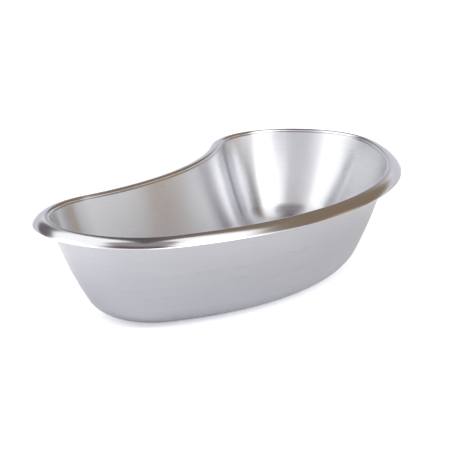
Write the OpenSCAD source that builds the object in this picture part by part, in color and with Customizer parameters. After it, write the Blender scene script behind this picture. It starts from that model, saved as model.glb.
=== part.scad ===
// Kidney dish for hospital and ward use: a bowl drawn from stainless steel sheet,
// whose edge is turned out and down into a polished rim.
// Lengths are in millimetres. The origin is on the table under the middle of the
// dish, X runs along its length and +Y points to its hollow side.

/* [Dish] */
// Overall length, over the rim
dish_length = 250; // [205:1:305]
// Overall width, over the rim
dish_width = 120; // [100:1:146]
// Overall height, from the table to the crest of the rim
dish_height = 45; // [36:1:54]
// Radius of the two round ends, at the outer edge of the rim
end_radius = 45; // [43:0.5:48]
// How far the hollow side dips between the two ends
hollow_depth = 15; // [12:0.5:18]

/* [Sheet and wall] */
// Thickness of the steel sheet
sheet = 0.8; // [0.5:0.05:1]
// Lean of the wall from upright, just under the rim, in degrees
wall_lean_top = 13.5; // [10:0.5:16.5]
// Lean of the wall from upright, where it meets the base radius, in degrees
wall_lean_foot = 25; // [20:0.5:30]
// Extra lean of the two ends, as a share of the wall's own inward run
end_lean = 0.44; // [0:0.01:0.6]
// Outside radius where the wall turns into the base
base_radius = 14; // [11:0.5:17]

/* [Rim] */
// Width of the rim, from its outer edge to its crest
rim_width = 6; // [5:0.25:7.25]
// Drop of the rim, from its crest to its outer edge
rim_drop = 3.1; // [2.5:0.1:3.7]
// Radius that takes the sharpness off the rim's outer edge
edge_round = 0.1; // [0.05:0.05:0.15]
// Radius of the bend between bowl and rim, on its top face
inner_bend = 1.4; // [1.1:0.1:2]

/* [Hidden] */

// Steps of each arc of the outline, from the middle of the bulging front round to
// the middle of the hollow. Their sum is even, because the base is filled in pairs.
front_steps = 10;
end_front_steps = 5;
end_side_steps = 11;
end_back_steps = 4;
hollow_steps = 10;
half_steps = front_steps + end_front_steps + end_side_steps + end_back_steps + hollow_steps;
ring_steps = 2 * half_steps;

// Steps of each arc of the cross-section
wall_steps = 5;
base_steps = 6;
bend_steps = 3;
flange_steps = 6;

// Places at the rim's outer edge: the ends' centres, how far the front reaches
// from their centre line, and where the bottom of the hollow lies
end_x = dish_length / 2 - end_radius;
end_y = dish_width / 2 - end_radius;
front_reach = dish_width - end_radius;
hollow_reach = end_radius - hollow_depth;

// Cross-section, as inset from the rim's outer edge and height above the table.
// The rim is one arc from the crest down to the sheet's edge, and its centre lies
// under the crest. The sheet is trimmed level there, and the rounding of the trimmed
// edge reaches farthest out.
flange_run = rim_width - edge_round;
flange_fall = rim_drop - edge_round;
edge_path = (pow(flange_run, 2) + pow(flange_fall, 2)) / (2 * flange_fall);
flange_radius = edge_path + edge_round;
flange_angle = asin(flange_run / edge_path);
crest_z = dish_height;
flange_z = crest_z - flange_radius;
trim_z = crest_z - rim_drop - edge_round;
under_angle = acos((trim_z - flange_z) / (flange_radius - sheet));

// The bend ends where the wall starts, and the seam crosses the sheet there
bend_z = crest_z - inner_bend;
seam_in = rim_width + inner_bend * cos(wall_lean_top);
seam_in_z = bend_z + inner_bend * sin(wall_lean_top);
seam_out = seam_in - sheet * cos(wall_lean_top);
seam_out_z = seam_in_z - sheet * sin(wall_lean_top);

// The wall is one long arc down to the base radius
foot_z = base_radius * (1 - sin(wall_lean_foot));
wall_radius = (seam_out_z - foot_z) / (sin(wall_lean_foot) - sin(wall_lean_top));
wall_in = seam_out + wall_radius * cos(wall_lean_top);
wall_z = seam_out_z + wall_radius * sin(wall_lean_top);
base_in = wall_in - (wall_radius - base_radius) * cos(wall_lean_foot);

// Points of an arc about (x, y), without its last point
function arc(x, y, radius, from, to, steps) =
    [for (i = [0 : steps - 1])
        let (t = from + (to - from) * i / steps)
        [x + radius * cos(t), y + radius * sin(t)]];

// Half of a kidney outline, from the front's middle to the hollow's middle, built
// from three tangent arcs: the bulging front, the round end and the hollow. The end
// has corners where it is farthest out and farthest back, if it reaches that far.
function half_outline(x, radius, front, hollow) =
    let (
        front_r = (x * x + front * front - radius * radius) / (2 * (front - radius)),
        front_y = front_r - front,
        hollow_r = (x * x + hollow * hollow - radius * radius) / (2 * (radius - hollow)),
        hollow_y = hollow_r + hollow,
        start = atan2(-front_y, x),
        side = start < 0 ? 0 : (start + 90) / 2,
        end = atan2(hollow_y, -x)
    )
    concat(
        arc(0, front_y, front_r, -90, start, front_steps),
        arc(x, 0, radius, start, side, end_front_steps),
        arc(x, 0, radius, side, 90, end_side_steps),
        arc(x, 0, radius, 90, end, end_back_steps),
        arc(0, hollow_y, hollow_r, end - 180, -90, hollow_steps),
        [[0, hollow]]
    );

// A closed ring at one point of the cross-section: inset from the rim's outer edge,
// height, and how much closer together the two end centres lie
function ring(section_point) =
    let (
        inset = section_point[0],
        half = half_outline(
            end_x - section_point[2],
            end_radius - inset,
            front_reach - inset,
            hollow_reach - inset
        )
    )
    [for (i = [0 : ring_steps - 1])
        i <= half_steps
            ? [half[i][0], half[i][1] + end_y, section_point[1]]
            : [-half[ring_steps - i][0], half[ring_steps - i][1] + end_y, section_point[1]]];

// Section points of the bowl's wall and base radius, a depth below its outer face,
// from the base up to the seam
function wall_points(depth) = concat(
    [for (i = [0 : base_steps])
        let (
            t = 90 - (90 - wall_lean_foot) * i / base_steps,
            outer = base_in - base_radius * cos(t)
        )
        [outer + depth * cos(t), base_radius - (base_radius - depth) * sin(t),
            end_lean * (outer - seam_out)]],
    [for (i = [1 : wall_steps])
        let (
            t = wall_lean_foot - (wall_lean_foot - wall_lean_top) * i / wall_steps,
            outer = wall_in - wall_radius * cos(t)
        )
        [outer + depth * cos(t), wall_z - (wall_radius - depth) * sin(t),
            end_lean * (outer - seam_out)]]
);

// Section points of the rim, a depth below its top face, from the seam up over the
// crest and out along the flange, as far as the given slope
function rim_points(depth, slope) = concat(
    [for (i = [0 : bend_steps - 1])
        let (t = wall_lean_top + (90 - wall_lean_top) * i / bend_steps)
        [rim_width + (inner_bend - depth) * cos(t), bend_z + (inner_bend - depth) * sin(t), 0]],
    [for (i = [0 : flange_steps])
        let (t = slope * i / flange_steps)
        [rim_width - (flange_radius - depth) * sin(t),
            flange_z + (flange_radius - depth) * cos(t), 0]]
);

// Section points round the rim's outer edge, from the level trim up to where the
// surface stands upright
function edge_points() = [
    for (t = [180, 135, 90])
        [rim_width - edge_path * sin(flange_angle) - edge_round * sin(t),
            flange_z + edge_path * cos(flange_angle) + edge_round * cos(t), 0]
];

// The same points in the other order
function backwards(points) = [for (i = [len(points) - 1 : -1 : 0]) points[i]];

// Corner number of place i on ring k, where i may run past the ring's last place
function corner(k, i) = k * ring_steps + (i + ring_steps) % ring_steps;

// Faces of the band between rings k and m
function band(k, m) = [
    for (i = [0 : ring_steps - 1])
        for (face = [
            [corner(k, i), corner(m, i + 1), corner(k, i + 1)],
            [corner(k, i), corner(m, i), corner(m, i + 1)]
        ])
        face
];

// Faces that fill ring k, seen from above. Rungs run from the front across to the
// back, closer and closer to each end, where a triangle is left.
function floor_faces(k) = [
    for (side = [1, -1])
        for (i = [0 : half_steps / 2 - 1])
            let (
                front = corner(k, side * i),
                next_front = corner(k, side * (i + 1)),
                back = corner(k, side * (half_steps - i)),
                next_back = corner(k, side * (half_steps - i - 1)),
                face = next_back == next_front
                    ? [front, back, next_back]
                    : [front, back, next_back, next_front]
            )
            side > 0 ? face : backwards(face)
];

// The drawn bowl: base, wall and the radius between them, one sheet thick
module bowl() {
    section = concat(wall_points(0), backwards(wall_points(sheet)));
    last = len(section) - 1;
    color("silver")
        polyhedron(
            points = [for (p = section) each ring(p)],
            faces = concat(
                [for (face = floor_faces(0)) backwards(face)],
                [for (k = [0 : last - 1]) each band(k, k + 1)],
                floor_faces(last)
            )
        );
}

// The turned-out rim: inner bend and sloping flange, one sheet thick, trimmed level
module turned_rim() {
    section = concat(
        rim_points(sheet, under_angle),
        edge_points(),
        backwards(rim_points(0, flange_angle))
    );
    last = len(section) - 1;
    color("gainsboro")
        polyhedron(
            points = [for (p = section) each ring(p)],
            faces = [for (k = [0 : last]) each band(k, (k + 1) % (last + 1))]
        );
}

bowl();
turned_rim();
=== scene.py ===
import bpy
import bmesh
import math
from math import sin, cos, asin, acos, atan2, pi, radians
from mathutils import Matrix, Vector


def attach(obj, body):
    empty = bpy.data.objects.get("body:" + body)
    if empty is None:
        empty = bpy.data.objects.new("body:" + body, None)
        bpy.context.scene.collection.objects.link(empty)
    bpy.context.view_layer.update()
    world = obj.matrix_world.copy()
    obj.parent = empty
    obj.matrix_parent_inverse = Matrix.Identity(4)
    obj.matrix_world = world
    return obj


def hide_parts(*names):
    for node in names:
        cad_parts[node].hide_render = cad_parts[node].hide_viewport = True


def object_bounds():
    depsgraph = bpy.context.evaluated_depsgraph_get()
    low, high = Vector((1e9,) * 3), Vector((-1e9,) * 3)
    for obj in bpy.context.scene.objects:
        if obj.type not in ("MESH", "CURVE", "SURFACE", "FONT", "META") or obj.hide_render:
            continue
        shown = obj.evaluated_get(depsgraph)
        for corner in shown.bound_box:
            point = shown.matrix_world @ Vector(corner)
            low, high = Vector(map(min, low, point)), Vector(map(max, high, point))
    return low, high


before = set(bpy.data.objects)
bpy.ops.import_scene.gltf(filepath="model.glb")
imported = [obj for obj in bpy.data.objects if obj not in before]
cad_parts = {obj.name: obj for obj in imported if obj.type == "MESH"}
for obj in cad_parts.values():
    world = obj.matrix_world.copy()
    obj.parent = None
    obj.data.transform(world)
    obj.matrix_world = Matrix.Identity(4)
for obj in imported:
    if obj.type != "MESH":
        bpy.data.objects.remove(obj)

frameLow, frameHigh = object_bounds()
mm = 0.001

# camera, fixed first so that everything else can be judged through it
print("camera")
cameraSettings = dict(
    place=(-0.538, -0.245, 0.1791),
    target=(0.005, 0.0162, 0.0167),
    lens=103.8,
    sensor=36.0,
)


def addCamera(settings):
    data = bpy.data.cameras.new("camera")
    data.lens = settings["lens"]
    data.sensor_width = settings["sensor"]
    data.clip_start = 0.01
    data.clip_end = 50.0
    camera = bpy.data.objects.new("camera", data)
    camera.location = settings["place"]
    gaze = Vector(settings["target"]) - camera.location
    camera.rotation_euler = gaze.to_track_quat("-Z", "Y").to_euler()
    bpy.context.scene.collection.objects.link(camera)
    bpy.context.scene.camera = camera


addCamera(cameraSettings)

# outline of the dish: rings inset from the outer edge of the rim
print("outline")
dish = dict(
    length=frameHigh.x - frameLow.x,
    width=frameHigh.y - frameLow.y,
    height=frameHigh.z - frameLow.z,
    endRadius=45 * mm,
    hollowDepth=15 * mm,
    sheet=0.8 * mm,
    frontSteps=52,
    endSteps=84,
    hollowSteps=44,
)


def arcPoints(x, y, radius, start, end, steps):
    turns = [start + (end - start) * i / steps for i in range(steps)]
    return [(x + radius * cos(t), y + radius * sin(t)) for t in turns]


def kidneyRing(inset, lean):
    # front arc, round end and hollow are tangent to each other, the left half mirrors the right
    x = dish["length"] / 2 - dish["endRadius"] - lean
    radius = dish["endRadius"] - inset
    front = dish["width"] - dish["endRadius"] - inset
    hollow = dish["endRadius"] - dish["hollowDepth"] - inset
    frontRadius = (x * x + front * front - radius * radius) / (2 * (front - radius))
    frontY = frontRadius - front
    hollowRadius = (x * x + hollow * hollow - radius * radius) / (2 * (radius - hollow))
    hollowY = hollowRadius + hollow
    start = atan2(-frontY, x)
    end = atan2(hollowY, -x)
    half = arcPoints(0, frontY, frontRadius, -pi / 2, start, dish["frontSteps"])
    half += arcPoints(x, 0, radius, start, end, dish["endSteps"])
    half += arcPoints(0, hollowY, hollowRadius, end - pi, -pi / 2, dish["hollowSteps"])
    half.append((0, hollow))
    shift = dish["width"] / 2 - dish["endRadius"]
    right = [(px, py + shift) for px, py in half]
    left = [(-px, py) for px, py in right[-2:0:-1]]
    return right + left


# cross-section: rim, wall and base radius, as (inset, height, lean)
rim = dict(
    width=6 * mm,
    drop=3.1 * mm,
    edgeRound=0.1 * mm,
    innerBend=1.4 * mm,
    bendSteps=10,
    flangeSteps=20,
    cornerSteps=4,
)
wall = dict(
    leanTop=radians(13.5),
    leanFoot=radians(25),
    endLean=0.44,
    baseRadius=14 * mm,
    wallSteps=40,
    baseSteps=24,
)


def seamPoints():
    # where the bowl stops and the rim starts, on both faces of the sheet
    lean = wall["leanTop"]
    inner = rim["width"] + rim["innerBend"] * cos(lean)
    innerZ = dish["height"] - rim["innerBend"] * (1 - sin(lean))
    outer = inner - dish["sheet"] * cos(lean)
    outerZ = innerZ - dish["sheet"] * sin(lean)
    return inner, innerZ, outer, outerZ


def wallSection(depth):
    inner, innerZ, outer, outerZ = seamPoints()
    top, foot, bottom = wall["leanTop"], wall["leanFoot"], wall["baseRadius"]
    footZ = bottom * (1 - sin(foot))
    sweep = (outerZ - footZ) / (sin(foot) - sin(top))
    centre = outer + sweep * cos(top)
    centreZ = outerZ + sweep * sin(top)
    baseInset = centre - (sweep - bottom) * cos(foot)
    points = []
    for i in range(wall["baseSteps"] + 1):
        t = pi / 2 - (pi / 2 - foot) * i / wall["baseSteps"]
        face = baseInset - bottom * cos(t)
        points.append((face + depth * cos(t), bottom - (bottom - depth) * sin(t),
                       wall["endLean"] * (face - outer)))
    for i in range(1, wall["wallSteps"] + 1):
        t = foot - (foot - top) * i / wall["wallSteps"]
        face = centre - sweep * cos(t)
        points.append((face + depth * cos(t), centreZ - (sweep - depth) * sin(t),
                       wall["endLean"] * (face - outer)))
    return points


def flangeShape():
    # the arc through the centre of the edge's rounding: radius, slope there, height of its centre
    run = rim["width"] - rim["edgeRound"]
    fall = rim["drop"] - rim["edgeRound"]
    path = (run * run + fall * fall) / (2 * fall)
    return path, asin(run / path), dish["height"] - path - rim["edgeRound"]


def rimSection(depth):
    path, slope, flangeZ = flangeShape()
    bendZ = dish["height"] - rim["innerBend"]
    bend = rim["innerBend"] - depth
    flange = path + rim["edgeRound"] - depth
    if depth:
        # the underside stops sooner, where the sheet is trimmed level
        trimZ = dish["height"] - rim["drop"] - rim["edgeRound"]
        slope = acos((trimZ - flangeZ) / flange)
    points = []
    for i in range(rim["bendSteps"]):
        t = wall["leanTop"] + (pi / 2 - wall["leanTop"]) * i / rim["bendSteps"]
        points.append((rim["width"] + bend * cos(t), bendZ + bend * sin(t), 0))
    for i in range(rim["flangeSteps"] + 1):
        t = slope * i / rim["flangeSteps"]
        points.append((rim["width"] - flange * sin(t), flangeZ + flange * cos(t), 0))
    return points


def edgeSection():
    # round the outer edge, from the level trim up to the slope of the flange
    path, slope, flangeZ = flangeShape()
    points = []
    for i in range(rim["cornerSteps"]):
        t = pi - (pi - slope) * i / rim["cornerSteps"]
        points.append((rim["width"] - path * sin(slope) - rim["edgeRound"] * sin(t),
                       flangeZ + path * cos(slope) + rim["edgeRound"] * cos(t), 0))
    return points


# mesh making: a section carried round the outline, with a map that follows the grain
def loftMesh(name, section, closed, ends):
    mesh = bmesh.new()
    grainMap = mesh.loops.layers.uv.new("grainMap")
    rings = []
    for inset, z, lean in section:
        rings.append([mesh.verts.new((x, y, z)) for x, y in kidneyRing(inset, lean)])
    count = len(rings[0])
    along = [0.0]
    middle = rings[len(rings) // 2]
    for i in range(count):
        along.append(along[-1] + (middle[(i + 1) % count].co - middle[i].co).length)
    across = [0.0]
    for low, high in zip(section, section[1:] + section[:1]):
        across.append(across[-1] + math.hypot(high[0] - low[0], high[1] - low[1]))
    bands = len(rings) if closed else len(rings) - 1
    for k in range(bands):
        lower, upper = rings[k], rings[(k + 1) % len(rings)]
        for i in range(count):
            j = (i + 1) % count
            face = mesh.faces.new((lower[i], lower[j], upper[j], upper[i]))
            corners = ((i, k), (i + 1, k), (i + 1, k + 1), (i, k + 1))
            for loop, (u, v) in zip(face.loops, corners):
                loop[grainMap].uv = (along[u], across[v])
    for ring, up in ends(rings):
        fillRing(mesh, ring, up, grainMap)
    for face in mesh.faces:
        face.smooth = True
    data = bpy.data.meshes.new(name)
    mesh.to_mesh(data)
    mesh.free()
    piece = bpy.data.objects.new(name, data)
    bpy.context.scene.collection.objects.link(piece)
    return piece


def fillRing(mesh, ring, up, grainMap):
    # rungs from the front across to the back, so no face leaves the kidney
    half = len(ring) // 2
    for side in (1, -1):
        for i in range(half // 2):
            corners = [ring[side * i], ring[(side * (half - i)) % len(ring)],
                       ring[(side * (half - i - 1)) % len(ring)], ring[side * (i + 1)]]
            if corners[2] is corners[3]:
                corners.pop()
            if (side > 0) == up:
                corners.reverse()
            face = mesh.faces.new(corners)
            for loop in face.loops:
                loop[grainMap].uv = (loop.vert.co.x, loop.vert.co.y)


def makeBowl():
    section = wallSection(0) + wallSection(dish["sheet"])[::-1]
    return loftMesh("bowlShell", section, False,
                    lambda rings: ((rings[0], False), (rings[-1], True)))


def makeRim():
    section = rimSection(dish["sheet"]) + edgeSection() + rimSection(0)[::-1]
    return loftMesh("rimBand", section, True, lambda rings: ())


print("bowl and rim")
bowlShell = makeBowl()
rimBand = makeRim()
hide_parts("bowl")
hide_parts("turned_rim")
for piece in (bowlShell, rimBand):
    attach(piece, "root")

# finishes
print("finishes")


class NodeBench:
    # a small helper that adds nodes and joins them by name
    def __init__(self, tree):
        self.tree = tree

    def add(self, kind, inputs=None, **settings):
        node = self.tree.nodes.new(kind)
        for name, value in settings.items():
            setattr(node, name, value)
        for name, value in (inputs or {}).items():
            if isinstance(value, bpy.types.NodeSocket):
                self.tree.links.new(value, node.inputs[name])
            else:
                node.inputs[name].default_value = value
        return node

    def maths(self, operation, *values, clamp=False):
        node = self.add("ShaderNodeMath", operation=operation, use_clamp=clamp)
        for socket, value in zip(node.inputs, values):
            if isinstance(value, bpy.types.NodeSocket):
                self.tree.links.new(value, socket)
            else:
                socket.default_value = value
        return node.outputs[0]

    def stretch(self, value, fromLow, fromHigh, toLow=0.0, toHigh=1.0, kind="LINEAR"):
        node = self.add("ShaderNodeMapRange", interpolation_type=kind, clamp=True)
        for name, setting in (("Value", value), ("From Min", fromLow), ("From Max", fromHigh),
                              ("To Min", toLow), ("To Max", toHigh)):
            if isinstance(setting, bpy.types.NodeSocket):
                self.tree.links.new(setting, node.inputs[name])
            else:
                node.inputs[name].default_value = setting
        return node.outputs["Result"]

    def mix(self, factor, low, high):
        node = self.add("ShaderNodeMix", data_type="RGBA")
        for socket, value in ((node.inputs[0], factor), (node.inputs[6], low), (node.inputs[7], high)):
            if isinstance(value, bpy.types.NodeSocket):
                self.tree.links.new(value, socket)
            else:
                socket.default_value = value
        return node.outputs[2]


def newGroup(name, inputs, outputs):
    tree = bpy.data.node_groups.new(name, "ShaderNodeTree")
    for label, kind, value in inputs:
        socket = tree.interface.new_socket(name=label, in_out="INPUT", socket_type=kind)
        socket.default_value = value
    for label, kind in outputs:
        tree.interface.new_socket(name=label, in_out="OUTPUT", socket_type=kind)
    bench = NodeBench(tree)
    return tree, bench, bench.add("NodeGroupInput").outputs, bench.add("NodeGroupOutput").inputs


grainPattern = dict(
    coarse=(14, 700, 2.0),  # repeats in a metre along the grain and across it, detail
    fine=(60, 2400, 1.0),
    coarseShare=0.6,
    smearScale=22.0,
    smearFrom=0.42,
    smearTo=0.72,
)


def makeGrainGroup(pattern):
    # polishing grain that runs round the dish, with faint smears over it
    tree, bench, given, result = newGroup(
        "grain",
        (("Tint", "NodeSocketColor", (0.6, 0.6, 0.6, 1)),
         ("Roughness", "NodeSocketFloat", 0.3),
         ("Grain Depth", "NodeSocketFloat", 1.0),
         ("Roughness Spread", "NodeSocketFloat", 0.04),
         ("Tone Spread", "NodeSocketFloat", 0.03),
         ("Smear", "NodeSocketFloat", 0.03)),
        (("Color", "NodeSocketColor"), ("Roughness", "NodeSocketFloat"), ("Height", "NodeSocketFloat")))
    grainMap = bench.add("ShaderNodeUVMap", uv_map="grainMap").outputs[0]
    layers = []
    for along, across, detail in (pattern["coarse"], pattern["fine"]):
        scaled = bench.add("ShaderNodeMapping", {"Vector": grainMap, "Scale": (along, across, 1)})
        noise = bench.add("ShaderNodeTexNoise", {"Vector": scaled.outputs[0], "Scale": 1.0,
                                                 "Detail": detail, "Roughness": 0.6})
        layers.append(noise.outputs["Fac"])
    blend = bench.maths("ADD", bench.maths("MULTIPLY", layers[0], pattern["coarseShare"]),
                        bench.maths("MULTIPLY", layers[1], 1 - pattern["coarseShare"]))
    place = bench.add("ShaderNodeTexCoord").outputs["Object"]
    cloud = bench.add("ShaderNodeTexNoise", {"Vector": place, "Scale": pattern["smearScale"], "Detail": 3.0,
                                             "Roughness": 0.55, "Distortion": 0.4}).outputs["Fac"]
    smear = bench.stretch(cloud, pattern["smearFrom"], pattern["smearTo"])
    lean = bench.maths("SUBTRACT", blend, 0.5)
    tone = bench.maths("ADD", 1.0, bench.maths("MULTIPLY", lean, given["Tone Spread"]))
    tone = bench.maths("SUBTRACT", tone, bench.maths("MULTIPLY", smear, given["Smear"]))
    colour = bench.add("ShaderNodeVectorMath", operation="SCALE")
    tree.links.new(given["Tint"], colour.inputs[0])
    tree.links.new(tone, colour.inputs["Scale"])
    rough = bench.maths("ADD", given["Roughness"], bench.maths("MULTIPLY", lean, given["Roughness Spread"]))
    rough = bench.maths("ADD", rough, bench.maths("MULTIPLY", smear, given["Smear"]))
    tree.links.new(colour.outputs[0], result["Color"])
    tree.links.new(rough, result["Roughness"])
    tree.links.new(bench.maths("MULTIPLY", blend, given["Grain Depth"]), result["Height"])
    return tree


def makeSteel(name, settings, grain):
    material = bpy.data.materials.new(name)
    material.use_nodes = True
    tree = material.node_tree
    bench = NodeBench(tree)
    steel = tree.nodes["Principled BSDF"]
    group = bench.add("ShaderNodeGroup", node_tree=grain)
    for label, value in settings["grain"].items():
        group.inputs[label].default_value = value
    tangent = bench.add("ShaderNodeTangent", direction_type="UV_MAP", uv_map="grainMap")
    bump = bench.add("ShaderNodeBump", {"Height": group.outputs["Height"], "Strength": settings["bump"],
                                        "Distance": settings["bumpDistance"]})
    tree.links.new(group.outputs["Color"], steel.inputs["Base Color"])
    tree.links.new(group.outputs["Roughness"], steel.inputs["Roughness"])
    tree.links.new(bump.outputs[0], steel.inputs["Normal"])
    tree.links.new(tangent.outputs[0], steel.inputs["Tangent"])
    steel.inputs["Metallic"].default_value = 1.0
    steel.inputs["Anisotropic"].default_value = settings["anisotropic"]
    steel.inputs["Anisotropic Rotation"].default_value = 0.25  # a quarter turn, highlights across the grain
    return material


satin = dict(
    grain={"Tint": (0.62, 0.625, 0.645, 1), "Roughness": 0.29, "Grain Depth": 1.0,
           "Roughness Spread": 0.14, "Tone Spread": 0.16, "Smear": 0.02},
    bump=0.3,
    bumpDistance=0.00003,
    anisotropic=0.8,
)
polish = dict(
    grain={"Tint": (0.70, 0.70, 0.72, 1), "Roughness": 0.15, "Grain Depth": 1.0,
           "Roughness Spread": 0.06, "Tone Spread": 0.05, "Smear": 0.02},
    bump=0.2,
    bumpDistance=0.00001,
    anisotropic=0.3,
)
grain = makeGrainGroup(grainPattern)
bowlShell.data.materials.append(makeSteel("satinSteel", satin, grain))
rimBand.data.materials.append(makeSteel("polishedSteel", polish, grain))

# floor and light
print("stage")


# the floor's glow set here is painted light: it fades towards dimSide and leaves a dark ring round the
# dish, shading the dish's reflections of the floor
stage = dict(
    reach=4,  # metres from the dish to the floor's edge
    paper=(0.86, 0.87, 0.90),
    glowColour=(0.97, 0.98, 1),
    dimSide=(0.41, -0.91, 0),  # the glow fades this way, from brightEnd to dimEnd in metres
    brightEnd=-0.02,
    dimEnd=0.15,
    clearOf=1.0,  # no glow at the dish, all of it this many half dishes out
    fullFrom=1.6,
    glow=0.36,
    cameraGlow=0.46,
)


def addFloor():
    mesh = bmesh.new()
    reach = stage["reach"]
    places = ((-reach, -reach), (reach, -reach), (reach, reach), (-reach, reach))
    corners = [mesh.verts.new((x, y, 0)) for x, y in places]
    mesh.faces.new(corners)
    data = bpy.data.meshes.new("floor")
    mesh.to_mesh(data)
    mesh.free()
    floor = bpy.data.objects.new("floor", data)
    bpy.context.scene.collection.objects.link(floor)
    material = bpy.data.materials.new("paper")
    material.use_nodes = True
    paper = material.node_tree.nodes["Principled BSDF"]
    paper.inputs["Base Color"].default_value = (*stage["paper"], 1)
    paper.inputs["Roughness"].default_value = 0.9
    paper.inputs["Specular IOR Level"].default_value = 0.1
    # painted light: the paper glows though it is no lamp, more to one side and not close round the dish,
    # which paints shade into the dish's reflections there;
    # it glows evenly for the camera, so that it reads as plain white
    bench = NodeBench(material.node_tree)
    place = bench.add("ShaderNodeTexCoord").outputs["Object"]
    across = bench.add("ShaderNodeVectorMath", {0: place}, operation="DOT_PRODUCT")
    across.inputs[1].default_value = stage["dimSide"]
    around = bench.add("ShaderNodeVectorMath", {0: place}, operation="MULTIPLY")
    around.inputs[1].default_value = (2 / dish["length"], 2 / dish["width"], 0)
    around = bench.add("ShaderNodeVectorMath", {0: around.outputs[0]}, operation="LENGTH")
    side = bench.stretch(across.outputs["Value"], stage["brightEnd"], stage["dimEnd"], stage["glow"], 0.0)
    near = bench.stretch(around.outputs["Value"], stage["clearOf"], stage["fullFrom"])
    seen = bench.add("ShaderNodeLightPath").outputs["Is Camera Ray"]
    glow = bench.stretch(seen, 0.0, 1.0, bench.maths("MULTIPLY", side, near), stage["cameraGlow"])
    paper.inputs["Emission Color"].default_value = (*stage["glowColour"], 1)
    material.node_tree.links.new(glow, paper.inputs["Emission Strength"])
    data.materials.append(material)
    return floor


# what stands round the table, laid over each other in this order: turn is the direction
# from the dish, anticlockwise from +X, rise the height over the horizon, wide and tall
# are half sizes, all in degrees
studio = dict(
    room=(1.35, 1.35, 1.35),
    edge=3,
    corner=3,
    boxes=dict(
        ceiling=dict(turn=0, rise=90, wide=400, tall=20, colour=(0.4, 0.35, 0.36)),
        overhead=dict(turn=-160, rise=65, wide=60, tall=10, colour=(0.15, 0.1, 0.1)),
        topLight=dict(turn=-50, rise=60, wide=35, tall=10, colour=(1.6, 1.6, 1.6)),
        darkDoor=dict(turn=25, rise=50, wide=15, tall=45, colour=(0.13, 0.11, 0.12)),
        tanWall=dict(turn=-20, rise=35, wide=45, tall=20, colour=(0.28, 0.21, 0.15)),
        warmCard=dict(turn=-40, rise=10, wide=12, tall=20, colour=(0.75, 0.62, 0.5)),
        lowWall=dict(turn=25, rise=0, wide=60, tall=15, colour=(0.7, 0.7, 0.76)),
        darkLeft=dict(turn=65, rise=25, wide=25, tall=10, colour=(0.17, 0.15, 0.17)),
        boxLeft=dict(turn=125, rise=35, wide=30, tall=15, colour=(2.2, 2.2, 2.2)),
        boxRight=dict(turn=-110, rise=35, wide=35, tall=15, colour=(3.5, 3.5, 3.5)),
        greyCard=dict(turn=-150, rise=15, wide=40, tall=25, colour=(0.9, 0.87, 0.93)),
    ),
)


def makeBoxGroup():
    # one soft-edged panel of light or shade, laid over whatever is behind it
    tree, bench, given, result = newGroup(
        "softBox",
        (("Turn", "NodeSocketFloat", 0.0), ("Rise", "NodeSocketFloat", 0.0),
         ("Box Turn", "NodeSocketFloat", 0.0), ("Box Rise", "NodeSocketFloat", 0.0),
         ("Half Width", "NodeSocketFloat", 10.0), ("Half Height", "NodeSocketFloat", 10.0),
         ("Edge", "NodeSocketFloat", 2.0), ("Corner", "NodeSocketFloat", 4.0),
         ("Colour", "NodeSocketColor", (1, 1, 1, 1)),
         ("Behind", "NodeSocketColor", (1, 1, 1, 1))),
        (("Colour", "NodeSocketColor"),))
    side = bench.maths("SUBTRACT", given["Turn"], given["Box Turn"])
    side = bench.maths("ABSOLUTE", bench.maths("WRAP", side, 180.0, -180.0))
    lift = bench.maths("ABSOLUTE", bench.maths("SUBTRACT", given["Rise"], given["Box Rise"]))
    parts = []
    for value, half in ((side, given["Half Width"]), (lift, given["Half Height"])):
        parts.append(bench.maths("POWER", bench.maths("DIVIDE", value, half), given["Corner"]))
    reach = bench.maths("POWER", bench.maths("ADD", *parts), bench.maths("DIVIDE", 1.0, given["Corner"]))
    blur = bench.maths("DIVIDE", given["Edge"],
                       bench.maths("MINIMUM", given["Half Width"], given["Half Height"]))
    mask = bench.stretch(reach, bench.maths("ADD", 1.0, blur), bench.maths("SUBTRACT", 1.0, blur),
                         kind="SMOOTHSTEP")
    tree.links.new(bench.mix(mask, given["Behind"], given["Colour"]), result["Colour"])
    return tree


def makeStudio(settings):
    world = bpy.data.worlds.new("studio")
    world.use_nodes = True
    tree = world.node_tree
    bench = NodeBench(tree)
    background = tree.nodes["Background"]
    box = makeBoxGroup()
    way = bench.add("ShaderNodeTexCoord").outputs["Generated"]
    axes = bench.add("ShaderNodeSeparateXYZ", {0: way}).outputs
    turn = bench.maths("DEGREES", bench.maths("ARCTAN2", axes[1], axes[0]))
    rise = bench.maths("DEGREES", bench.maths("ARCSINE", axes[2]))
    light = bench.add("ShaderNodeRGB")
    light.outputs[0].default_value = (*settings["room"], 1)
    light = light.outputs[0]
    for panel in settings["boxes"].values():
        node = bench.add("ShaderNodeGroup", node_tree=box)
        for label, value in (("Box Turn", panel["turn"]), ("Box Rise", panel["rise"]),
                             ("Half Width", panel["wide"]), ("Half Height", panel["tall"]),
                             ("Edge", settings["edge"]), ("Corner", settings["corner"]),
                             ("Colour", (*panel["colour"], 1))):
            node.inputs[label].default_value = value
        for label, socket in (("Turn", turn), ("Rise", rise), ("Behind", light)):
            tree.links.new(socket, node.inputs[label])
        light = node.outputs["Colour"]
    # the backdrop that shows past the floor stays plain white
    seen = bench.add("ShaderNodeLightPath").outputs["Is Camera Ray"]
    tree.links.new(bench.mix(seen, light, (1, 1, 1, 1)), background.inputs["Color"])
    bpy.context.scene.world = world


addFloor()
makeStudio(studio)
bpy.context.scene.view_settings.view_transform = "Standard"
